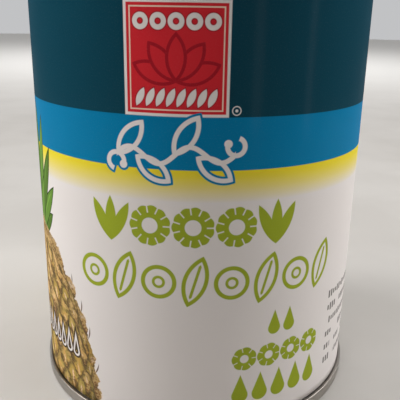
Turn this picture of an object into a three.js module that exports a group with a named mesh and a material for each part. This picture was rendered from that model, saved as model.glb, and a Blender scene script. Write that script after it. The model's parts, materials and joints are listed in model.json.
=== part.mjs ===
// A shut steel food can with a wrap-around paper label.
// Millimetres, +Z up. The origin is the centre of the base, on the plane the can stands on.
// The front of the label faces -Y and its glued lap is at the back.
import * as THREE from 'three';

// Driving dimensions: a 307 x 409 three-piece can, necked in at the foot.
const CAN_HEIGHT = 115.9;
const TOP_SEAM_RADIUS = 43.65;
const BASE_SEAM_RADIUS = 42.85;
const BODY_RADIUS = 41.6;
const NECK_RADIUS = 40.9;
const NECK_LENGTH = 3.5;

// Double seam that hooks each end to the body.
const SEAM_HEIGHT = 3.0;
const SEAM_THICKNESS = 1.4;
const SEAM_ROUND = 0.4;

// Sunk panel of each end, stiffened by a groove and stepped rings.
const COUNTERSINK_DEPTH = 4.2;
const CHUCK_WALL_TAPER = 1.35;
const GROOVE_WIDTH = 1.2;
const PANEL_RISE = 1.1;
const STEP_RUN = 0.8;
const END_THICKNESS = 1.2;
const PANEL_STEPS = [
  { inset: 5.2, drop: 0.5 },
  { inset: 9.4, drop: 0.5 },
  { inset: 13.6, drop: -0.6 },
];

// Paper label: a closed sleeve that stands clear of both seams.
const LABEL_RADIUS = 42.0;
const LABEL_THICKNESS = 0.15;
const LABEL_FOOT_GAP = 0.3;
const LABEL_HEAD_GAP = 1.0;

// Clearance between pieces that touch on the real can.
const PIECE_GAP = 0.3;
const AROUND = 72;

const steel = new THREE.MeshStandardMaterial({ color: 0x9a938c, roughness: 0.32, metalness: 1.0 });
const bodySteel = new THREE.MeshStandardMaterial({ color: 0x8d8781, roughness: 0.38, metalness: 1.0 });
const paper = new THREE.MeshStandardMaterial({ color: 0xcfc6c2, roughness: 0.45, metalness: 0.0 });

// A piece turned about the can's axis. The lathe turns about Y, so it is tipped onto Z;
// a piece that faces down is tipped the other way, with its profile measured downwards.
function turned(name, outline, material, level = 0, facesDown = false) {
  const points = outline.map(([radius, height]) => new THREE.Vector2(radius, height));
  const piece = new THREE.Mesh(new THREE.LatheGeometry(points, AROUND), material);
  piece.name = name;
  piece.rotation.x = facesDown ? -Math.PI / 2 : Math.PI / 2;
  piece.position.z = level;
  return piece;
}

// Depth of an end's underside below the rim of its seam.
const END_DEPTH = COUNTERSINK_DEPTH + END_THICKNESS;

// Outline of an end: underside, plug, seam, chuck wall, groove and stepped panel.
// Heights are measured from the rim of the seam.
function endOutline(seamRadius, plugRadius) {
  const seamBore = seamRadius - SEAM_THICKNESS;
  const grooveRadius = seamBore - CHUCK_WALL_TAPER;
  const panelRadius = grooveRadius - GROOVE_WIDTH;
  let level = PANEL_RISE - COUNTERSINK_DEPTH;
  const outline = [
    [0, -END_DEPTH],
    [plugRadius, -END_DEPTH],
    [plugRadius, -SEAM_HEIGHT],
    [seamRadius - SEAM_ROUND, -SEAM_HEIGHT],
    [seamRadius, SEAM_ROUND - SEAM_HEIGHT],
    [seamRadius, -SEAM_ROUND],
    [seamRadius - SEAM_ROUND, 0],
    [seamBore + SEAM_ROUND, 0],
    [seamBore, -SEAM_ROUND],
    [grooveRadius, -COUNTERSINK_DEPTH],
    [panelRadius, -COUNTERSINK_DEPTH],
    [panelRadius - STEP_RUN, level],
  ];
  for (const { inset, drop } of PANEL_STEPS) {
    outline.push([panelRadius - inset, level]);
    level -= drop;
    outline.push([panelRadius - inset - STEP_RUN, level]);
  }
  outline.push([0, level]);
  return outline;
}

// The filled body: a drum between the two ends, necked in at the foot.
function bodyOutline() {
  const foot = END_DEPTH + PIECE_GAP;
  const head = CAN_HEIGHT - END_DEPTH - PIECE_GAP;
  return [
    [0, foot],
    [NECK_RADIUS, foot],
    [BODY_RADIUS, foot + NECK_LENGTH],
    [BODY_RADIUS, head],
    [0, head],
  ];
}

function labelOutline() {
  const inner = LABEL_RADIUS - LABEL_THICKNESS;
  const foot = SEAM_HEIGHT + LABEL_FOOT_GAP;
  const head = CAN_HEIGHT - SEAM_HEIGHT - LABEL_HEAD_GAP;
  return [
    [inner, foot],
    [LABEL_RADIUS, foot],
    [LABEL_RADIUS, head],
    [inner, head],
    [inner, foot],
  ];
}

const group = new THREE.Group();
group.add(
  turned('can_body', bodyOutline(), bodySteel),
  turned('top_end', endOutline(TOP_SEAM_RADIUS, BODY_RADIUS), steel, CAN_HEIGHT),
  turned('base_end', endOutline(BASE_SEAM_RADIUS, NECK_RADIUS), steel, 0, true),
  turned('label', labelOutline(), paper),
);

export default group;
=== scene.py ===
"""A shut steel food can with a printed paper label, laid out as a Blender add-on."""

import json
from math import asin, cos, pi, radians, sin, tan

import bmesh
import bpy
from bpy.props import FloatProperty, FloatVectorProperty, IntProperty, PointerProperty
from bpy.types import Operator, Panel, PropertyGroup
from mathutils import Matrix, Vector, noise

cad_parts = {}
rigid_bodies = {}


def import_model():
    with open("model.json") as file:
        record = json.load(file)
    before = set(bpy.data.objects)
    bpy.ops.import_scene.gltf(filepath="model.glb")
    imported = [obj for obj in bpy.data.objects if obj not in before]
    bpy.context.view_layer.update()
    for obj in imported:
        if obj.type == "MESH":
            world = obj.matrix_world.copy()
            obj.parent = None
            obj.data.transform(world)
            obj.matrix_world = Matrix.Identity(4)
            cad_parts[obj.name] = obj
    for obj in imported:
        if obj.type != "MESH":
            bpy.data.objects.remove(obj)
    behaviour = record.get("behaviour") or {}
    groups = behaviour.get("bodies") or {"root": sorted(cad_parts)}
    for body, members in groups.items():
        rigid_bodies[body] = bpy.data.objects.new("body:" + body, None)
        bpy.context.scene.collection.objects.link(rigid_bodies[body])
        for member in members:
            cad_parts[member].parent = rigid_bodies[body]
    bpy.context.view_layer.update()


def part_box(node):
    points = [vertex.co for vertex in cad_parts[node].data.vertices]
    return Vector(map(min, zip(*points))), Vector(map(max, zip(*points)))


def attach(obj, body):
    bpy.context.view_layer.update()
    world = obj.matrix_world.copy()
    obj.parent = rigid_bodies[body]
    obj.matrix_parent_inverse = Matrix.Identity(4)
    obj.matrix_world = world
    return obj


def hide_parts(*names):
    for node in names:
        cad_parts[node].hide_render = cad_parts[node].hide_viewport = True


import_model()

bl_info = {
    "name": "Labelled Food Can",
    "version": (1, 0, 0),
    "blender": (4, 5, 0),
    "location": "3D View > Sidebar > Food Can",
    "description": "Builds a shut steel food can with a printed paper label",
    "category": "Add Mesh",
}

BODY = "root"
MM = 0.001

# Sizes taken from the frame, in millimetres.
CAN_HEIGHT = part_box("top_end")[1].z / MM
TOP_SEAM_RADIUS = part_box("top_end")[1].x / MM
BASE_SEAM_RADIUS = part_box("base_end")[1].x / MM
LABEL_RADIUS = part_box("label")[1].x / MM
LABEL_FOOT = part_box("label")[0].z / MM
LABEL_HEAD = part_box("label")[1].z / MM
LABEL_HEIGHT = LABEL_HEAD - LABEL_FOOT
LABEL_AROUND = 2 * pi * LABEL_RADIUS
PLUG_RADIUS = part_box("can_body")[1].x / MM

# Stepped panel of each end, in millimetres: inset of a step from the panel's edge, and its drop.
PANEL_STEPS = ((5.2, 0.5), (9.4, 0.5), (13.6, -0.6))

# Radius of the floor, in metres.
FLOOR_RADIUS = 2.6

# Places of the print in millimetres: x along the paper from its front, y above its foot.
PANEL_HALF_WIDTH = 10.45
PANEL_HALF_HEIGHT = 10.9
FRONT_PANEL = (-4.5, 83.0)
BACK_PANEL = (117.0, 83.0)
VINE = (-4.8, 64.3)
BOLD_ROW = (-0.8, 44.4)
FINE_ROW = (-0.2, 32.2)
JUICE_MARKS = (20.6, 5.2)
FRUIT = (-50.4, 3.0)
FRUIT_HALF_WIDTH = 25.1
FRUIT_HALF_HEIGHT = 37.5
FRUIT_LEAN = radians(4)
PALE_MARKS = (-43.2, 13.4)
RULED_TABLE = (84, 30)
TABLE_HALF_WIDTH = 15
TABLE_HALF_HEIGHT = 25
STRIPES = (117, 18)
STRIPES_HALF_WIDTH = 10
STRIPES_HALF_HEIGHT = 11

# Each block of small lines: its left, right and foot, its pitch, the number of lines, their height.
SMALL_LINES = ((105, 129, 36, 3.2, 5, 1.6), (37.2, 62, 5.6, 3.75, 6, 2.1))

# Place and lean in degrees of each spine at the edge of the fruit.
SPINES = (
    (-24.8, 9.6, -26),
    (-26.9, 18.6, -12),
    (-29.3, 24.8, -8),
    (-32.6, 30.6, -4),
    (-74.6, 15.0, 22),
)

# Place and radius of each ring of cut fruit.
CUT_SLICES = ((-112, 22, 15), (-92, 16, 14), (-103, 39, 13))

# Lean in degrees and length of each leaf of the crown, the outer ones first.
CROWN = (
    (-58, 15), (60, 15), (-44, 22), (46, 21), (-30, 29), (31, 28),
    (-17, 34), (18, 33), (-6, 38), (7, 36), (-24, 19), (25, 18), (0, 22),
)

# Linear colours of the drawn fruit, beside the inks that a user can set.
TAN = (0.66, 0.43, 0.17)
LIME = (0.40, 0.36, 0.10)
MOSS = (0.165, 0.145, 0.09)
RUST = (0.33, 0.105, 0.035)
AMBER = (0.62, 0.33, 0.07)
UMBER = (0.165, 0.115, 0.05)
BRACT = (0.86, 0.64, 0.42)
SPINE = (0.11, 0.06, 0.028)
PITH = (0.88, 0.74, 0.30)


# ---------------------------------------------------------------- settings


def amount(name, description, default):
    """A property for a number that is never negative."""
    return FloatProperty(name=name, description=description, default=default, min=0.0)


def length_mm(name, description, default):
    """A property for a size in millimetres."""
    return amount(name, f"{description}, in millimetres", default)


def watts(name, description, default):
    """A property for the power of a light."""
    return amount(name, f"{description}, in watts", default)


def angle(name, description, default):
    """A property for an angle, in radians."""
    return FloatProperty(name=name, description=description, default=default, subtype="ANGLE")


def colour(name, description, default):
    """A property for a linear colour."""
    return FloatVectorProperty(
        name=name, description=description, default=default, subtype="COLOR", size=3, min=0.0, max=1.0
    )


class SteelSizes(PropertyGroup):
    """Sizes of the steel body and its two ends, in millimetres."""

    seam_height: length_mm("Seam Height", "Height of the double seam", 3.15)
    seam_width: length_mm("Seam Width", "Thickness of the double seam across its layers", 1.4)
    neck_radius: length_mm("Neck Radius", "Outside radius of the necked foot of the wall", 41.15)
    neck_length: length_mm("Neck Length", "Height over which the wall is necked in", 3.2)
    wall: length_mm("Wall", "Thickness of the body sheet", 0.2)
    countersink: length_mm("Countersink", "Depth of the groove below the rim", 4.2)
    chuck_taper: length_mm("Chuck Wall Taper", "Radius lost down the wall inside the seam", 1.35)
    groove_width: length_mm("Groove Width", "Width of the groove round the panel", 1.2)
    panel_rise: length_mm("Panel Rise", "Height of the panel's edge above the groove", 1.1)
    step_run: length_mm("Step Run", "Width of each slope between two levels of the panel", 0.8)
    hook_width: length_mm("Hook Width", "Thickness of the seam's folded hook", 0.72)
    hook_depth: length_mm("Hook Depth", "Depth of the crevice between hook and wall", 0.7)
    end_depth: length_mm("End Depth", "Depth of the underside below the rim", 5.4)
    around: IntProperty(name="Around", description="Faces round the can", default=288, min=24)


class LabelSizes(PropertyGroup):
    """Sizes of the paper and heights of its bands above the label's foot, in millimetres."""

    paper: length_mm("Paper", "Thickness of the paper", 0.1)
    lap: length_mm("Lap", "Width of the glued lap at the back", 8.0)
    ripple: length_mm("Ripple", "Height of the soft waves in the paper", 0.07)
    blue_foot: length_mm("Blue Foot", "Lower edge of the blue band", 61.3)
    teal_foot: length_mm("Teal Foot", "Lower edge of the teal field", 72.1)
    yellow_fade: length_mm("Yellow Fade", "Height over which the yellow fades into the paper", 6.8)


class Inks(PropertyGroup):
    """Linear colours of the print and the steel."""

    paper: colour("Paper", "Coated paper", (0.775, 0.725, 0.70))
    teal: colour("Teal", "Deep teal field", (0.004, 0.048, 0.075))
    blue: colour("Blue", "Blue band", (0.001, 0.185, 0.375))
    yellow: colour("Yellow", "Yellow glow", (0.80, 0.65, 0.028))
    green: colour("Green", "Green marks", (0.325, 0.39, 0.027))
    red: colour("Red", "Red panel", (0.63, 0.024, 0.034))
    wine: colour("Wine", "Dark drawing on the red panel", (0.36, 0.012, 0.022))
    cream: colour("Cream", "Fine line on the red panel", (0.84, 0.66, 0.52))
    ochre: colour("Ochre", "Rind of the fruit", (0.48, 0.34, 0.09))
    bark: colour("Bark", "Dark gaps of the rind", (0.075, 0.05, 0.028))
    leaf: colour("Leaf", "Crown of leaves", (0.10, 0.20, 0.03))
    flesh: colour("Flesh", "Cut fruit", (0.86, 0.62, 0.07))
    grey: colour("Grey", "Small grey marks", (0.09, 0.08, 0.07))
    steel: colour("Steel", "Tinplate", (0.385, 0.355, 0.32))


class StageSettings(PropertyGroup):
    """The camera, the lights and the floor."""

    camera_distance: length_mm("Camera Distance", "From the can's axis", 153.8)
    camera_height: length_mm("Camera Height", "Above the floor", 94.65)
    pitch: angle("Pitch", "Camera tilt below level", 0.3129)
    yaw: angle("Yaw", "Camera turn to the right", 0.0048)
    roll: angle("Roll", "Camera roll", 0.0169)
    lens: length_mm("Lens", "Focal length on a sensor 36 mm wide", 51.75)
    left: watts("Left Light", "Power of the left softbox", 2.42)
    right: watts("Right Light", "Power of the right softbox", 1.82)
    top: watts("Top Light", "Power of the wide softbox overhead", 72.0)
    rear: watts("Rear Light", "Power of the softbox over the floor behind", 3.4)
    front: watts("Front Light", "Power of the spot over the floor in front", 0.045)
    strips: watts("Strip Lights", "Power of each slim upright light", 0.034)
    ambient: amount("Ambient", "Strength of the room's fill light", 0.02)
    backdrop: amount("Backdrop", "Brightness of the room behind", 0.53)
    mirrored: amount("Mirrored", "Brightness of the room in the steel", 0.33)


class CanSettings(PropertyGroup):
    """All settings of the can."""

    steel: PointerProperty(type=SteelSizes)
    label: PointerProperty(type=LabelSizes)
    inks: PointerProperty(type=Inks)
    stage: PointerProperty(type=StageSettings)


# ---------------------------------------------------------------- materials


class Signal:
    """A number in a material. Python's operators on it add Math nodes."""

    def __init__(self, paint, socket):
        self.paint = paint
        self.socket = socket

    def __add__(self, other):
        return self.paint.maths("ADD", self, other)

    def __sub__(self, other):
        return self.paint.maths("SUBTRACT", self, other)

    def __rsub__(self, other):
        return self.paint.maths("SUBTRACT", other, self)

    def __mul__(self, other):
        return self.paint.maths("MULTIPLY", self, other)

    def __truediv__(self, other):
        return self.paint.maths("DIVIDE", self, other)

    def __rtruediv__(self, other):
        return self.paint.maths("DIVIDE", other, self)

    def __neg__(self):
        return self.paint.maths("MULTIPLY", self, -1)

    def __abs__(self):
        return self.paint.maths("ABSOLUTE", self)

    __radd__ = __add__
    __rmul__ = __mul__

    def least(self, other):
        return self.paint.maths("MINIMUM", self, other)

    def most(self, other):
        return self.paint.maths("MAXIMUM", self, other)

    def wave(self):
        return self.paint.maths("SINE", self)

    def whole(self):
        return self.paint.maths("ROUND", self)

    def floor(self):
        return self.paint.maths("FLOOR", self)

    def root(self):
        return self.paint.maths("SQRT", self)


class Paint:
    """The nodes of one material, or of the world, and the few ways of adding to them."""

    def __init__(self, owner):
        self.owner = owner
        self.owner.use_nodes = True
        self.tree = self.owner.node_tree
        self.tree.nodes.clear()

    def node(self, kind, settings, sockets):
        """Adds a shader node with its settings first and then the values or links of its sockets."""
        made = self.tree.nodes.new("ShaderNode" + kind)
        for name, value in settings.items():
            setattr(made, name, value)
        for name, value in sockets.items():
            if isinstance(value, Signal):
                self.tree.links.new(value.socket, made.inputs[name])
            else:
                made.inputs[name].default_value = value
        return made

    def signal(self, kind, settings, sockets, output=0):
        return Signal(self, self.node(kind, settings, sockets).outputs[output])

    def maths(self, operation, *values):
        return self.signal("Math", {"operation": operation}, dict(enumerate(values)))

    def chance(self, vector):
        """A random number for each pair of whole numbers."""
        return self.signal("TexWhiteNoise", {"noise_dimensions": "2D"}, {"Vector": vector}, output="Value")

    def mix(self, under, over, share):
        """The colour under, covered by the colour over where share is 1."""
        sockets = {"Factor": share, 6: tint(under), 7: tint(over)}
        return self.signal("Mix", {"data_type": "RGBA"}, sockets, output=2)

    def cover(self, under, over, value, low, high, most=1.0):
        """The colour under, covered more by the colour over as a value goes from low to high."""
        return self.mix(under, over, self.remap(value, low, high, 0.0, most))

    def remap(self, value, low, high, start=0.0, end=1.0, smooth=True):
        """A value brought from one range to another and held within it."""
        settings = {"interpolation_type": "SMOOTHSTEP" if smooth else "LINEAR"}
        sockets = {"Value": value, "From Min": low, "From Max": high, "To Min": start, "To Max": end}
        return self.signal("MapRange", settings, sockets)

    def point(self, x, y, z=0.0):
        return self.signal("CombineXYZ", {}, {"X": x, "Y": y, "Z": z})

    def parts(self, vector):
        split = self.node("SeparateXYZ", {}, {0: vector})
        return [Signal(self, socket) for socket in split.outputs]

    def length(self, x, y):
        return self.signal("VectorMath", {"operation": "LENGTH"}, {0: self.point(x, y)}, output="Value")

    def stretched(self, vector, scale):
        """Coordinates scaled along each axis, so that a grain on them is drawn out."""
        return self.signal("Mapping", {}, {"Vector": vector, "Scale": scale})

    def grain(self, vector, scale, detail=2.0, roughness=0.5):
        sockets = {"Vector": vector, "Scale": scale, "Detail": detail, "Roughness": roughness}
        return self.signal("TexNoise", {}, sockets)

    def objects(self):
        """The coordinates of the piece, in metres."""
        return self.signal("TexCoord", {}, {}, output="Object")

    def bump(self, height, distance, strength=1.0):
        sockets = {"Height": height, "Distance": distance, "Strength": strength}
        return self.signal("Bump", {}, sockets, output="Normal")

    def finish(self, **sockets):
        """Ends the material in one glossy shader."""
        named = {name.replace("_", " "): value for name, value in sockets.items()}
        return self.end("BsdfPrincipled", "OutputMaterial", named)

    def end(self, shader, output, sockets):
        """Links a shader to the output."""
        shader = self.node(shader, {}, sockets)
        output = self.node(output, {}, {})
        self.tree.links.new(shader.outputs[0], output.inputs[0])
        return self.owner


def new_paint(name):
    """The start of a new material."""
    return Paint(bpy.data.materials.new(name))


def tint(value):
    """A colour as a socket takes it: a link as it is, three numbers with an alpha."""
    return value if isinstance(value, Signal) else (*value, 1.0)


def scaled(ink, share):
    """A colour made darker or paler."""
    return [channel * share for channel in ink]


def tinplate(name, inks, lines):
    """Satin tinplate with rolling lines; lines holds the grain's fineness along each axis."""
    paint = new_paint(name)
    place = paint.objects()
    rolling = paint.grain(paint.stretched(place, lines), 1.0, detail=4.0)
    cloud = paint.grain(place, 90.0, detail=3.0)
    specks = paint.grain(place, 900.0, detail=1.0)
    shade = paint.remap(cloud * 0.6 + rolling * 0.4, 0.3, 0.7)
    base = paint.mix(scaled(inks.steel, 0.82), inks.steel, shade)
    height = rolling * 0.7 + specks * 0.3
    return paint.finish(
        Base_Color=base,
        Metallic=1.0,
        Roughness=paint.remap(rolling + cloud, 0.6, 1.4, 0.28, 0.42),
        Normal=paint.bump(height, 0.00002, 0.35),
    )


# ---------------------------------------------------------------- shapes of the print


class Print:
    """Flat shapes of ink on the label, measured in millimetres: x along the paper, y above its foot.

    A shape is its distance field, negative inside. Each layer of ink covers the ones before.
    EDGE is half the width over which an edge softens."""

    EDGE = 0.07

    def __init__(self, paint, x, y, base):
        self.paint = paint
        self.x = x
        self.y = y
        self.colour = base
        self.flat = paint.point(x, y)

    def ink(self, colour, shape, strength=1.0):
        """Covers the inside of a shape with a colour."""
        share = self.paint.remap(shape, -self.EDGE, self.EDGE, strength, 0.0, smooth=False)
        self.colour = self.paint.mix(self.colour, colour, share)

    def at(self, x, y, turn=0.0):
        """Coordinates that start at a place on the label and are turned by an angle."""
        settings = {"vector_type": "TEXTURE"}
        sockets = {"Vector": self.flat, "Location": (x, y, 0), "Rotation": (0, 0, turn)}
        return self.paint.parts(self.paint.signal("Mapping", settings, sockets))[:2]

    def row(self, x, y, pitch, count):
        """Coordinates that start again at each of count places along a row centred on x, y."""
        across = self.x - x
        half = (count - 1) / 2
        cell = (across / pitch + half).whole().most(0).least(count - 1)
        return across - (cell - half) * pitch, self.y - y

    def disc(self, x, y, radius):
        return self.paint.length(x, y) - radius

    def block(self, x, y, half_width, half_height):
        return (abs(x) - half_width).most(abs(y) - half_height)

    def leaf(self, x, y, half_length, half_width):
        """A pointed leaf that stands along y, where two arcs meet."""
        bow = (half_length**2 + half_width**2) / (2 * half_width)
        return self.paint.length(abs(x) + (bow - half_width), y) - bow

    def drop(self, x, y, radius, tip):
        """A drop: a disc with a tangent point above it."""
        slope = asin(radius / tip)
        side = abs(x) * cos(slope) + y * sin(slope) - radius
        return self.disc(x, y, radius).least(side.most(radius * sin(slope) - y))

    def scallop(self, turn, away, radius, lobes, swell):
        """A disc with an edge of round lobes, and how far each angle is from a gap between two."""
        wedge = abs((turn * (lobes / 2)).wave())
        return away - (wedge * swell + 0.94) * radius, wedge

    def slice(self, x, y, radius, hole, lobes=11, cut=0.14):
        """A ring of cut fruit with a scalloped edge and fine cuts between its wedges."""
        turn = self.paint.maths("ARCTAN2", y, x)
        away = self.paint.length(x, y)
        rim, wedge = self.scallop(turn, away, radius, lobes, 0.07)
        cuts = (cut - wedge * away * (2 / lobes)).least(away - (hole + 0.25 * radius))
        return rim.most(hole - away).most(cuts)


def outline(shape, width):
    """A line of a given width along the edge of a shape."""
    return abs(shape) - width / 2


def spun(x, y, turn):
    """Coordinates turned about their own start."""
    return x * cos(turn) + y * sin(turn), y * cos(turn) - x * sin(turn)


def bands(art, inks, sizes):
    """Yellow glow, blue band and teal field."""
    down = ((sizes.blue_foot - art.y) / sizes.yellow_fade).most(0).least(1)
    art.colour = art.paint.mix(art.colour, inks.yellow, 1.0 - down * down)
    art.ink(inks.blue, sizes.blue_foot - art.y)
    art.ink(inks.teal, sizes.teal_foot - art.y)


def leaf_fan(art, x, y, leans, half_length, half_width):
    """Leaves that spread from one foot, as one shape."""
    shape = None
    for lean in leans:
        leaf_x, leaf_y = spun(x, y, radians(-lean))
        leaf = art.leaf(leaf_x, leaf_y - half_length, half_length, half_width)
        shape = leaf if shape is None else shape.least(leaf)
    return shape


def red_panel(art, inks, centre_x, centre_y):
    """A red square with a pale border and a fine line: a dark fan of leaves between two pale rows."""
    x, y = art.at(centre_x, centre_y)
    box = art.block(x, y, PANEL_HALF_WIDTH, PANEL_HALF_HEIGHT)
    art.ink(inks.paper, box)
    art.ink(inks.red, box + 0.57)
    half_length = 4.7
    for lean in (-68, 68, -36, 36, 0):
        leaf_x, leaf_y = spun(x, y + 4.3, radians(-lean))
        leaf = art.leaf(leaf_x, leaf_y - half_length, half_length, 2.1)
        art.ink(inks.red, leaf)
        art.ink(inks.wine, outline(leaf + 0.3, 0.62))
    mark_x, mark_y = art.row(centre_x, centre_y + 7.0, 3.5, 5)
    marks = outline(art.disc(mark_x, mark_y, 1.1), 0.95)
    mark_x, mark_y = art.row(centre_x, centre_y - 7.2, 2.05, 8)
    mark_x, mark_y = spun(mark_x, mark_y, radians(-24))
    marks = marks.least(art.leaf(mark_x, mark_y, 1.95, 0.72))
    art.ink(inks.wine, marks - 0.2)
    art.ink(inks.paper, marks)
    art.ink(inks.cream, outline(box + 1.28, 0.26))
    dot = art.disc(x - 12.0, y + 9.6, 0.85)
    art.ink(inks.paper, outline(dot, 0.2).least(dot + 0.55))


def vine(art, inks, centre_x, centre_y):
    """A white climbing stem with open leaves and a curl at each end, edged in blue."""
    half_span = 12.4
    half_stem = 0.5
    swing = 1.7
    phase = 2 * pi / 12.6
    x, y = art.at(centre_x, centre_y, radians(2))
    slope = art.paint.maths("COSINE", x * phase) * (swing * phase)
    steep = (slope * slope + 1.0).root()
    shape = (abs(y - (x * phase).wave() * swing) / steep - half_stem).most(abs(x) - half_span)
    leaves = ((-9.3, 3.1, 38, 4.2), (-4.4, -3.0, 126, 4.0), (2.4, 4.0, 32, 4.3), (8.2, -2.7, 124, 4.0))
    for along, rise, lean, half_length in leaves:
        leaf_x, leaf_y = art.at(centre_x + along, centre_y + rise, radians(-lean))
        leaf = art.leaf(leaf_x, leaf_y, half_length, 1.8)
        shape = shape.least(outline(leaf, 0.95))
    curl = 1.8
    for side in (-1, 1):
        curl_x, curl_y = art.at(centre_x + side * (half_span + 0.1), centre_y + side * 1.9)
        curl_x, curl_y = spun(curl_x * side, curl_y * side, radians(-20))
        ring = outline(art.disc(curl_x, curl_y, curl), 1.0)
        shape = shape.least(ring.most((-curl_x).least(curl_y)))
        shape = shape.least(art.disc(curl_x + 1.75, curl_y, 0.85))
    art.ink(inks.blue, shape - 0.48)
    art.ink(inks.paper, shape)


def bold_row(art, inks, centre_x, base_y):
    """Three bold rings of fruit between two sprigs."""
    x, y = art.row(centre_x, base_y + 4.6, 9.25, 3)
    shape = art.slice(x, y, 4.5, 1.75)
    for side in (-1, 1):
        x, y = art.at(centre_x + side * 18.4, base_y)
        shape = shape.least(leaf_fan(art, x, y, (-26, 0, 26), 5.1, 1.35))
    art.ink(inks.green, shape)


def fine_row(art, inks, centre_x, base_y):
    """Fine rings and open leaves by turns along the label."""
    pitch = 16.0
    x, y = art.row(centre_x, base_y + 4.0, pitch, 4)
    away = art.paint.length(x, y)
    shape = (abs(away - 3.5) - 0.48).least(abs(away - 1.15) - 0.32)
    x, y = art.row(centre_x + pitch / 2, base_y + 4.4, pitch, 4)
    x, y = spun(x, y, radians(-16))
    leaf = art.leaf(x, y, 5.9, 2.5)
    rib = (abs(x) - 0.32).most(leaf + 1.1)
    art.ink(inks.green, shape.least(outline(leaf + 0.2, 0.9)).least(rib))


def juice_marks(art, inks, centre_x, base_y):
    """Three short rows of small drops and rings."""
    x, y = art.row(centre_x, base_y + 18.4, 4.1, 2)
    shape = art.drop(x, y, 1.6, 4.6)
    x, y = art.row(centre_x, base_y + 11.6, 6.15, 4)
    shape = shape.least(art.slice(x, y, 3.0, 1.05, 7, 0.1))
    x, y = art.row(centre_x, base_y + 1.9, 5.0, 5)
    art.ink(inks.green, shape.least(art.drop(x, y, 2.0, 5.6)))


def small_lines(art, inks, left, right, low, pitch, count, tall):
    """Lines of little upright bars of uneven height, broken into short runs."""
    paint = art.paint
    line = ((art.y - low) / pitch).floor()
    middle = art.y - low - (line + 0.5) * pitch
    step = tall * 0.6
    column = (art.x / step).whole()
    chance = paint.chance(paint.point(column, line))
    runs = paint.grain(paint.point(column * 0.31, line * 7.3), 1.0, detail=0.0)
    bar = abs(middle) - (chance * 0.24 + 0.24) * tall
    bar = bar.most(abs(art.x - column * step) - step * 0.31).most((0.42 - runs) * 5)
    middle_x = (left + right) / 2
    half_height = pitch * count / 2
    area = art.block(art.x - middle_x, art.y - (low + half_height), (right - left) / 2, half_height)
    art.ink(inks.grey, bar.most(area), 0.85)


def crown(art, inks, foot_x, foot_y, lean):
    """Pointed leaves at the top of the fruit, each with a dark edge and a lit rib."""
    for number, (turn, reach) in enumerate(CROWN):
        tip = radians(-turn) + lean
        half = reach / 2
        x, y = art.at(foot_x - sin(tip) * half, foot_y + cos(tip) * half, tip)
        x = x + y * y * (0.0016 * turn / 30)
        leaf = art.leaf(x, y, half, 2.4)
        lit = scaled(inks.leaf, 0.7 + 0.2 * (number % 4))
        art.ink(scaled(inks.leaf, 0.3), leaf)
        art.ink(lit, leaf + 0.32)
        art.ink(scaled(lit, 1.7), (abs(x + 0.4) - 0.3).most(leaf + 0.9), 0.6)


def fruit(art, inks, centre_x, centre_y, half_width, half_height, lean):
    """A whole fruit: leaning cells that swell at the edge, each with a point, and dark gaps between."""
    paint = art.paint
    crown_rise = half_height * 0.9
    crown(art, inks, centre_x - sin(lean) * crown_rise, centre_y + cos(lean) * crown_rise, lean)
    x, y = art.at(centre_x, centre_y, lean)
    warp = paint.grain(art.flat, 0.11, detail=3.0) - 0.5
    mottle = paint.grain(art.flat, 0.55, detail=4.0, roughness=0.6) - 0.5
    flecks = paint.grain(art.flat, 1.7, detail=3.0) - 0.5

    # Two families of lines wind round the fruit and part it into cells.
    across = x / half_width
    up = y / half_height
    girth = (1.0 - up * up).most(0.02).root()
    swell = (across / girth).most(-0.98).least(0.98)
    turn = paint.maths("ARCSINE", swell) * 2.9
    climb = y * 0.118
    one = turn + climb + warp * 2.0
    two = turn - climb - warp * 1.6 + mottle * 0.3
    one_cell = one.whole()
    two_cell = two.whole()
    one_part = one - one_cell
    two_part = two - two_cell
    rise = one_part - two_part
    side = one_part + two_part
    edge = abs(one_part).most(abs(two_part)) * 2.0
    chance = paint.chance(paint.point(one_cell, two_cell))
    hairs = paint.grain(paint.point(side * 5.0 + chance * 30.0, rise * 1.3), 1.0, detail=3.0) - 0.5

    # The colours of a cell, its pale pointed leaf, and the gaps round it.
    rind = paint.cover(TAN, inks.ochre, chance + mottle * 1.5, 0.2, 0.8)
    rind = paint.cover(rind, LIME, mottle * 2.4 + chance * 0.9 - rise * 0.2, 0.45, 0.95, 0.7)
    rind = paint.cover(rind, MOSS, hairs * 1.6 - rise * 0.5 + flecks * 0.8, 0.05, 0.6, 0.85)
    spike = abs(side + warp * 0.3) * 2.4 + abs(rise + chance * 0.3 - 0.15) + hairs * 0.8
    rind = paint.cover(rind, BRACT, spike + (1.0 - chance) * 0.35, 0.62, 0.30, 0.95)
    rind = paint.cover(rind, RUST, flecks * 1.8 + hairs - rise * 0.45 + mottle, 0.04, 0.42, 0.85)
    rind = paint.cover(rind, AMBER, warp * 2.5 + chance * 0.7 - mottle, 0.3, 1.0, 0.55)
    gap = edge + mottle * 1.5 + flecks * 0.7 - side * 0.12 - rise * 0.16
    broken = paint.remap(warp - mottle * 1.5, -0.25, 0.2, 0.25, 0.9)
    rind = paint.cover(rind, UMBER, gap, 0.42, 0.95, 0.72)
    rind = paint.mix(rind, inks.bark, paint.remap(gap, 0.74, 1.1) * broken)
    rind = paint.cover(rind, UMBER, abs(swell) + mottle * 1.2 + flecks, 0.84, 1.3, 0.75)
    rind = paint.cover(rind, inks.bark, abs(swell), 0.7, 1.0, 0.3)

    # The cells stand out as knobs along the edge of the fruit.
    knob = (1.0 - edge) * 1.3
    body = (paint.length(across, up) - 1.0) * (half_width * 0.86) - knob + mottle * 2.2
    art.ink(BRACT, body - 0.2, 0.35)
    art.ink(rind, body)


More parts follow.
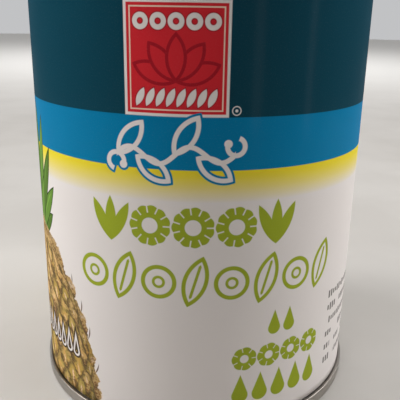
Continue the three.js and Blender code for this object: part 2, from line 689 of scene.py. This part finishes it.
def spines(art, places):
    """Thin curved spines at the edge of the fruit."""
    for x, y, lean in places:
        local_x, local_y = art.at(x, y, radians(lean))
        bent = local_x + local_y * local_y * 0.08
        art.ink(SPINE, art.leaf(bent, local_y, 1.9, 0.2), 0.9)


def pale_marks(art, inks, centre_x, centre_y):
    """A row of open drops, pale with a dark edge, over the foot of the fruit."""
    x, y = art.row(centre_x, centre_y, 3.1, 8)
    marks = outline(art.drop(x, y + 1.7, 1.05, 4.4), 0.55)
    art.ink(inks.bark, marks - 0.5)
    art.ink(inks.paper, marks)


def cut_slices(art, inks, places):
    """Overlapping rings of cut fruit, each with a pale core edge and fibres."""
    paint = art.paint
    deep = [inks.flesh[0] * 0.8, inks.flesh[1] * 0.62, inks.flesh[2] * 0.5]
    for x, y, radius in places:
        local_x, local_y = art.at(x, y, radians(x * 3))
        away = paint.length(local_x, local_y)
        turn = paint.maths("ARCTAN2", local_y, local_x)
        rim, _ = art.scallop(turn, away, radius, 14, 0.06)
        ring = rim.most(0.26 * radius - away)
        fibre = paint.grain(paint.point(turn * 9.0, away * 0.15), 1.0, detail=3.0)
        flesh = paint.cover(inks.flesh, deep, fibre, 0.4, 0.65)
        flesh = paint.cover(flesh, PITH, away / radius, 0.5, 0.3)
        art.ink(scaled(inks.yellow, 0.5), ring - 0.35, 0.7)
        art.ink(flesh, ring)


def stripes(art, inks, x, y, half_width, half_height):
    """A pale block of upright stripes of mixed widths."""
    local_x, local_y = art.at(x, y)
    column = (art.x * 1.6).floor()
    settings = {"noise_dimensions": "1D"}
    chance = art.paint.signal("TexWhiteNoise", settings, {"W": column}, output="Value")
    art.ink(inks.paper, art.block(local_x, local_y, half_width + 2, half_height + 2))
    art.ink(inks.grey, (0.5 - chance).most(art.block(local_x, local_y, half_width, half_height)))


def ruled_table(art, inks, x, y, half_width, half_height):
    """A thin frame with ruled lines and rows of small marks."""
    margin = 1.5
    rule_pitch = 13.6
    local_x, local_y = art.at(x, y)
    box = art.block(local_x, local_y, half_width, half_height)
    left = x - half_width + margin
    right = x + half_width - margin
    small_lines(art, inks, left, right, y - half_height + 1.4, 3.4, 14, 1.7)
    rules = (abs(local_y - (local_y / rule_pitch).whole() * rule_pitch) - 0.35).most(box + 1.2)
    art.ink(inks.paper, rules - 0.7)
    art.ink(inks.grey, rules.least(outline(box, 0.45)))


def label_paper(inks, sizes, sheet_width):
    """Coated paper with the whole print. Its thin coat gives all of its gloss."""
    paint = new_paint("printed_paper")
    across, up, _ = paint.parts(paint.signal("UVMap", {"uv_map": "print"}, {}))
    x = across * sheet_width - (LABEL_AROUND / 2)
    y = up * LABEL_HEIGHT
    art = Print(paint, x, y, inks.paper)
    bands(art, inks, sizes)
    spines(art, SPINES)
    fruit(art, inks, *FRUIT, FRUIT_HALF_WIDTH, FRUIT_HALF_HEIGHT, FRUIT_LEAN)
    pale_marks(art, inks, *PALE_MARKS)
    cut_slices(art, inks, CUT_SLICES)
    ruled_table(art, inks, *RULED_TABLE, TABLE_HALF_WIDTH, TABLE_HALF_HEIGHT)
    stripes(art, inks, *STRIPES, STRIPES_HALF_WIDTH, STRIPES_HALF_HEIGHT)
    for block in SMALL_LINES:
        small_lines(art, inks, *block)
    red_panel(art, inks, *FRONT_PANEL)
    red_panel(art, inks, *BACK_PANEL)
    vine(art, inks, *VINE)
    bold_row(art, inks, *BOLD_ROW)
    fine_row(art, inks, *FINE_ROW)
    juice_marks(art, inks, *JUICE_MARKS)
    fibre = paint.grain(art.flat, 3.2, detail=3.0)
    cockle = paint.grain(art.flat, 0.07, detail=1.0)
    printed = paint.cover(art.colour, inks.paper, fibre, 0.5, 0.9, 0.03)
    return paint.finish(
        Base_Color=printed,
        Roughness=paint.remap(cockle, 0.3, 0.7, 0.45, 0.60),
        Specular_IOR_Level=0.0,
        Coat_Weight=0.1,
        Coat_Roughness=0.14,
        Normal=paint.bump(fibre * 0.3 + cockle, 0.00006, 0.5),
    )


def raw_paper(inks):
    """The uncoated cut edge and back of the label."""
    paint = new_paint("raw_paper")
    fibre = paint.grain(paint.objects(), 2500.0, detail=3.0)
    base = paint.cover(scaled(inks.paper, 0.85), inks.paper, fibre, 0.3, 0.7)
    return paint.finish(Base_Color=base, Roughness=0.8, Normal=paint.bump(fibre, 0.00003, 0.5))


def floor_paint():
    """A pale matt table top, painted paler away from the can where less light falls: painted light that
    evens out how bright the floor looks.
    """
    paint = new_paint("pale_floor")
    near = (0.46, 0.435, 0.405)
    clouded = (0.51, 0.485, 0.455)
    far = (0.88, 0.86, 0.83)
    place = paint.objects()
    cloud = paint.grain(place, 14.0, detail=4.0)
    base = paint.cover(near, clouded, cloud, 0.35, 0.65)
    x, y, _ = paint.parts(place)
    # Painted light: the floor is darker near the can, where the softboxes light it most, and paler far
    # away, where little light falls.
    base = paint.cover(base, far, paint.length(x, y), 0.3, 1.1)
    return paint.finish(Base_Color=base, Roughness=0.6)


# ---------------------------------------------------------------- meshes


def rounded(corners, segments=5):
    """The points of an outline whose corners (radius from the axis, height, rounding) are filleted."""
    points = []
    for number, (radius, height, fillet) in enumerate(corners):
        here = Vector((radius, height))
        if not fillet:
            points.append(here)
            continue
        before = (Vector(corners[number - 1][:2]) - here).normalized()
        after = (Vector(corners[(number + 1) % len(corners)][:2]) - here).normalized()
        half = before.angle(after) / 2
        centre = here + (before + after).normalized() * (fillet / sin(half))
        start = here + before * (fillet / tan(half)) - centre
        end = here + after * (fillet / tan(half)) - centre
        sweep = start.angle_signed(end)
        for step in range(segments + 1):
            turn = Matrix.Rotation(-sweep * step / segments, 2)
            points.append(centre + turn @ start)
    return points


def turned(name, corners, around, materials, closed=False):
    """A piece spun from an outline about the can's axis."""
    mesh = bmesh.new()
    points = rounded(corners)
    row = [mesh.verts.new((0, -p.x * MM, p.y * MM)) for p in points]
    edges = [mesh.edges.new(pair) for pair in zip(row, row[1:])]
    if closed:
        edges.append(mesh.edges.new((row[-1], row[0])))
    bmesh.ops.spin(
        mesh,
        geom=row + edges,
        cent=(0, 0, 0),
        axis=(0, 0, 1),
        angle=2 * pi,
        steps=around,
        use_merge=True,
    )
    bmesh.ops.remove_doubles(mesh, verts=mesh.verts, dist=0.5e-6)
    bmesh.ops.recalc_face_normals(mesh, faces=mesh.faces)
    return piece(name, mesh, materials)


def piece(name, mesh, materials):
    """Ends a bmesh as a smooth object with its materials."""
    data = bpy.data.meshes.new(name)
    for face in mesh.faces:
        face.smooth = True
    mesh.to_mesh(data)
    mesh.free()
    made = bpy.data.objects.new(name, data)
    bpy.context.scene.collection.objects.link(made)
    for material in materials:
        data.materials.append(material)
    return made


def end_corners(sizes, seam_radius, plug_radius):
    """Outline of an end facing up, with heights from the rim of its seam."""
    bore = seam_radius - sizes.seam_width
    hook = seam_radius - sizes.hook_width
    crevice = sizes.hook_depth - sizes.seam_height
    groove = bore - sizes.chuck_taper
    panel = groove - sizes.groove_width
    level = sizes.panel_rise - sizes.countersink
    hook_lean = 0.2
    hook_fillet = 0.12
    curl_in = 0.03
    bead_fillet = 0.62
    step_fillet = 0.9
    corners = [
        (0, -sizes.end_depth, 0),
        (plug_radius, -sizes.end_depth, 0),
        (plug_radius, crevice, 0),
        (hook - hook_lean, crevice, 0.15),
        (hook, -sizes.seam_height, hook_fillet),
        (seam_radius - curl_in, -sizes.seam_height, hook_fillet),
        (seam_radius, -0.55 * sizes.seam_height, 2.0),
        (seam_radius, 0, bead_fillet),
        (bore, 0, bead_fillet),
        (groove, -sizes.countersink, 0.5),
        (panel, -sizes.countersink, 0.45),
        (panel - sizes.step_run, level, 0.6),
    ]
    for inset, drop in PANEL_STEPS:
        corners.append((panel - inset, level, step_fillet))
        level -= drop
        corners.append((panel - inset - sizes.step_run, level, step_fillet))
    corners.append((0, level, 0))
    return corners


def paper_sheet(sizes, width):
    """A flat sheet of paper with thickness, in metres: x along it from its front, y up, z outwards."""
    sheet = bmesh.new()
    sheet.loops.layers.uv.new("print")
    middle = Matrix.Translation((width / 2 - LABEL_AROUND / 2, LABEL_HEIGHT / 2, 0))
    scale = Matrix.Diagonal((width / 2, LABEL_HEIGHT / 2, 1, 1))
    bmesh.ops.create_grid(
        sheet,
        x_segments=round(width),
        y_segments=round(LABEL_HEIGHT / 2),
        size=1.0,
        matrix=Matrix.Scale(MM, 4) @ middle @ scale,
        calc_uvs=True,
    )
    back = bmesh.ops.extrude_face_region(sheet, geom=sheet.faces[:], use_keep_orig=True)["geom"]
    back = [item for item in back if isinstance(item, bmesh.types.BMVert)]
    bmesh.ops.translate(sheet, verts=back, vec=(0, 0, -sizes.paper * MM))
    bmesh.ops.recalc_face_normals(sheet, faces=sheet.faces)
    return sheet


# Strips of the label's baking map, as the lower edge and the height of each.
FRONT_STRIP = (0.475, 0.52)
SIDE_STRIP = (0.10, 0.365)
BACK_STRIP = (0.05, 0.04)

# Places of the sheet's cut edges on the map, and the map's empty border.
FOOT_EDGE = 0.012
HEAD_EDGE = 0.027
END_EDGE = 0.98
MAP_MARGIN = 0.005


def in_strip(strip, along, up, run=1 - 2 * MAP_MARGIN):
    """A place in a strip of the baking map, from shares of its length and of its height."""
    low, height = strip
    return MAP_MARGIN + run * along, low + height * up


def lay_out(sheet, width):
    """Marks the printed face and gives the flat sheet its map for baking.

    The front has the most room, above the two sides, the back and the cut edges."""
    layer = sheet.loops.layers.uv.new("OFBake")
    left_end = -LABEL_AROUND / 2
    side = LABEL_AROUND / 4
    gap = 2.0
    sides = width - 2 * side + gap
    for face in sheet.faces:
        middle = face.calc_center_median() / MM
        face.normal_update()
        face.material_index = 0 if face.normal.z > 0.5 else 1
        for loop in face.loops:
            x, y, z = loop.vert.co / MM
            up = y / LABEL_HEIGHT
            along = (x - left_end) / width
            if face.normal.z > 0.5 and abs(middle.x) < side:
                place = in_strip(FRONT_STRIP, (x + side) / (2 * side), up)
            elif face.normal.z > 0.5:
                start = x - side if middle.x > 0 else x + width - side + gap
                place = in_strip(SIDE_STRIP, start / sides, up, run=0.965)
            elif face.normal.z < -0.5:
                place = in_strip(BACK_STRIP, along, up)
            elif abs(face.normal.y) > 0.5:
                edge = HEAD_EDGE if up > 0.5 else FOOT_EDGE
                place = in_strip((edge - 0.08 * z, 0.0), along, up)
            else:
                place = (END_EDGE + 0.01 * (x > 0) - 0.05 * z, SIDE_STRIP[0] + SIDE_STRIP[1] * up)
            loop[layer].uv = place


def waves(turn, height, around, tall):
    """Smooth noise on the can's surface; around and tall set how close its waves are."""
    return noise.noise(Vector((sin(turn) * around, -cos(turn) * around, height / tall)))


def wrap(sheet, sizes):
    """Bends the flat sheet round the can, with soft ripples and a step at its lap."""
    step_run = 1.5
    step_rise = 1.3 * sizes.paper
    for vertex in sheet.verts:
        along = vertex.co.x / MM
        height = vertex.co.y / MM
        depth = vertex.co.z / MM
        turn = along / LABEL_RADIUS
        past = min(max((along - LABEL_AROUND / 2 + step_run) / step_run, 0.0), 1.0)
        step = past * past * (3 - 2 * past) * step_rise
        ripple = 0.35 * waves(turn, height, 2.2, 34) + 0.15 * waves(turn, height, 7.0, 15)
        radius = LABEL_RADIUS + depth + step + sizes.ripple * ripple
        vertex.co = (sin(turn) * radius * MM, -cos(turn) * radius * MM, (LABEL_FOOT + height) * MM)


# ---------------------------------------------------------------- operators


class FOODCAN_OT_wall(Operator):
    """Add the steel wall of the can, necked in at its foot"""

    bl_idname = "food_can.add_wall"
    bl_label = "Can Wall"

    def execute(self, context):
        can = context.scene.food_can
        sizes = can.steel
        paper_gap = 0.03
        seam_overlap = 0.2
        straight = 1.3
        bend = 1.5
        radius = LABEL_RADIUS - can.label.paper - can.label.ripple / 2 - paper_gap
        bore = radius - sizes.wall
        neck_bore = sizes.neck_radius - sizes.wall
        foot = sizes.seam_height - sizes.hook_depth - seam_overlap
        head = CAN_HEIGHT - foot
        neck = foot + straight
        shoulder = neck + sizes.neck_length
        corners = [
            (sizes.neck_radius, foot, 0),
            (sizes.neck_radius, neck, bend),
            (radius, shoulder, bend),
            (radius, head, 0),
            (bore, head, 0),
            (bore, shoulder, bend),
            (neck_bore, neck, bend),
            (neck_bore, foot, 0),
        ]
        steel = tinplate("wall_tinplate", can.inks, (60, 60, 2600))
        wall = turned("can_wall", corners, sizes.around, [steel], closed=True)
        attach(wall, BODY)
        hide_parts("can_body")
        return {"FINISHED"}


class FOODCAN_OT_ends(Operator):
    """Add the two ends with their double seams, grooves and stepped panels"""

    bl_idname = "food_can.add_ends"
    bl_label = "Can Ends"

    def execute(self, context):
        can = context.scene.food_can
        sizes = can.steel
        steel = tinplate("end_tinplate", can.inks, (40, 2200, 2200))
        neck_plug = sizes.neck_radius - sizes.wall
        for name, node, seam, plug, up in (
            ("top_lid", "top_end", TOP_SEAM_RADIUS, PLUG_RADIUS, True),
            ("base_lid", "base_end", BASE_SEAM_RADIUS, neck_plug, False),
        ):
            corners = end_corners(sizes, seam, plug)
            corners = [(r, CAN_HEIGHT + h, f) if up else (r, -h, f) for r, h, f in corners]
            lid = turned(name, corners, sizes.around, [steel])
            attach(lid, BODY)
            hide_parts(node)
        return {"FINISHED"}


class FOODCAN_OT_label(Operator):
    """Add the printed paper label with its glued lap at the back"""

    bl_idname = "food_can.add_label"
    bl_label = "Paper Label"

    def execute(self, context):
        can = context.scene.food_can
        sizes = can.label
        width = LABEL_AROUND + sizes.lap
        sheet = paper_sheet(sizes, width)
        lay_out(sheet, width)
        wrap(sheet, sizes)
        paper = label_paper(can.inks, sizes, width)
        label = piece("paper_label", sheet, [paper, raw_paper(can.inks)])
        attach(label, BODY)
        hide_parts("label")
        return {"FINISHED"}


class FOODCAN_OT_stage(Operator):
    """Add the camera, the soft lights and the pale floor"""

    bl_idname = "food_can.add_stage"
    bl_label = "Stage"

    def execute(self, context):
        stage = context.scene.food_can.stage
        self.add_camera(context, stage)

        # Name, power, azimuth in degrees, then distance, height, width and length in metres.
        softboxes = (
            ("left_softbox", stage.left, -86, 0.42, 0.33, 0.28, 0.26),
            ("right_softbox", stage.right, 96, 0.445, 0.285, 0.28, 0.26),
            ("near_strip", stage.strips, 35, 0.35, 0.13, 0.036, 0.25),
            ("far_strip", stage.strips, 71, 0.35, 0.13, 0.03, 0.25),
        )
        for softbox in softboxes:
            self.add_softbox(context, *softbox)

        # Name, power, place and size in metres, and spread in degrees.
        overheads = (
            ("overhead_softbox", stage.top, (0, 0, 1.8), 8.0, 60),
            ("rear_softbox", stage.rear, (0, 0.95, 0.8), 0.9, 110),
            ("front_spot", stage.front, (-0.08, -0.11, 0.5), 0.12, 40),
        )
        for overhead in overheads:
            self.add_overhead(context, *overhead)
        self.add_floor()
        self.add_world(context, stage)
        context.scene.view_settings.view_transform = "Standard"
        return {"FINISHED"}

    def add_camera(self, context, stage):
        """A camera in front of the label that looks slightly down on the can."""
        data = bpy.data.cameras.new("camera")
        data.lens = stage.lens
        data.clip_start = 0.01
        camera = bpy.data.objects.new("camera", data)
        context.scene.collection.objects.link(camera)
        turn = Matrix.Rotation(-stage.yaw, 4, "Z")
        tilt = Matrix.Rotation(pi / 2 - stage.pitch, 4, "X")
        roll = Matrix.Rotation(stage.roll, 4, "Z")
        place = Matrix.Translation((0, -stage.camera_distance * MM, stage.camera_height * MM))
        camera.matrix_world = place @ turn @ tilt @ roll
        context.scene.camera = camera

    def add_softbox(self, context, name, power, azimuth, distance, height, width, tall):
        """An area light that faces the middle of the can; azimuth 0 is in front of the label."""
        data = bpy.data.lights.new(name, "AREA")
        data.shape = "RECTANGLE"
        data.size = width
        data.size_y = tall
        data.energy = power
        light = bpy.data.objects.new(name, data)
        light.visible_camera = False
        context.scene.collection.objects.link(light)
        heading = radians(azimuth)
        spot = Vector((sin(heading) * distance, -cos(heading) * distance, height))
        target = Vector((0, 0, CAN_HEIGHT * MM / 2))
        light.location = spot
        light.rotation_euler = (spot - target).to_track_quat("Z", "Y").to_euler()

    def add_overhead(self, context, name, power, place, size, spread):
        """A square area light that faces straight down."""
        data = bpy.data.lights.new(name, "AREA")
        data.size = size
        data.energy = power
        data.spread = radians(spread)
        light = bpy.data.objects.new(name, data)
        light.visible_camera = False
        light.location = place
        context.scene.collection.objects.link(light)

    def add_world(self, context, stage):
        """A pale room to the camera and in reflections, and a faint fill light to the can."""
        room = Paint(bpy.data.worlds.new("pale_room"))
        rays = room.node("LightPath", {}, {})
        seen = Signal(room, rays.outputs["Is Camera Ray"])
        mirrored = Signal(room, rays.outputs["Is Glossy Ray"])
        strength = seen * stage.backdrop + mirrored * stage.mirrored + stage.ambient
        daylight = (0.97, 0.98, 1.0)
        sockets = {"Color": tint(daylight), "Strength": strength}
        context.scene.world = room.end("Background", "OutputWorld", sockets)

    def add_floor(self):
        """A flat disc under the can."""
        mesh = bmesh.new()
        bmesh.ops.create_circle(mesh, cap_ends=True, segments=64, radius=FLOOR_RADIUS)
        floor = piece("floor", mesh, [floor_paint()])


class FOODCAN_PT_sidebar(Panel):
    """Lists the steps that build the can"""

    bl_label = "Food Can"
    bl_idname = "FOODCAN_PT_sidebar"
    bl_space_type = "VIEW_3D"
    bl_region_type = "UI"
    bl_category = "Food Can"

    def draw(self, context):
        for step in STEPS:
            self.layout.operator(step.bl_idname)


STEPS = (FOODCAN_OT_wall, FOODCAN_OT_ends, FOODCAN_OT_label, FOODCAN_OT_stage)
CLASSES = (SteelSizes, LabelSizes, Inks, StageSettings, CanSettings, *STEPS, FOODCAN_PT_sidebar)


def register():
    for item in CLASSES:
        bpy.utils.register_class(item)
    bpy.types.Scene.food_can = PointerProperty(type=CanSettings)


def unregister():
    del bpy.types.Scene.food_can
    for item in reversed(CLASSES):
        bpy.utils.unregister_class(item)


def main():
    register()
    bpy.ops.food_can.add_wall()
    bpy.ops.food_can.add_ends()
    bpy.ops.food_can.add_label()
    bpy.ops.food_can.add_stage()


if __name__ == "__main__":
    main()
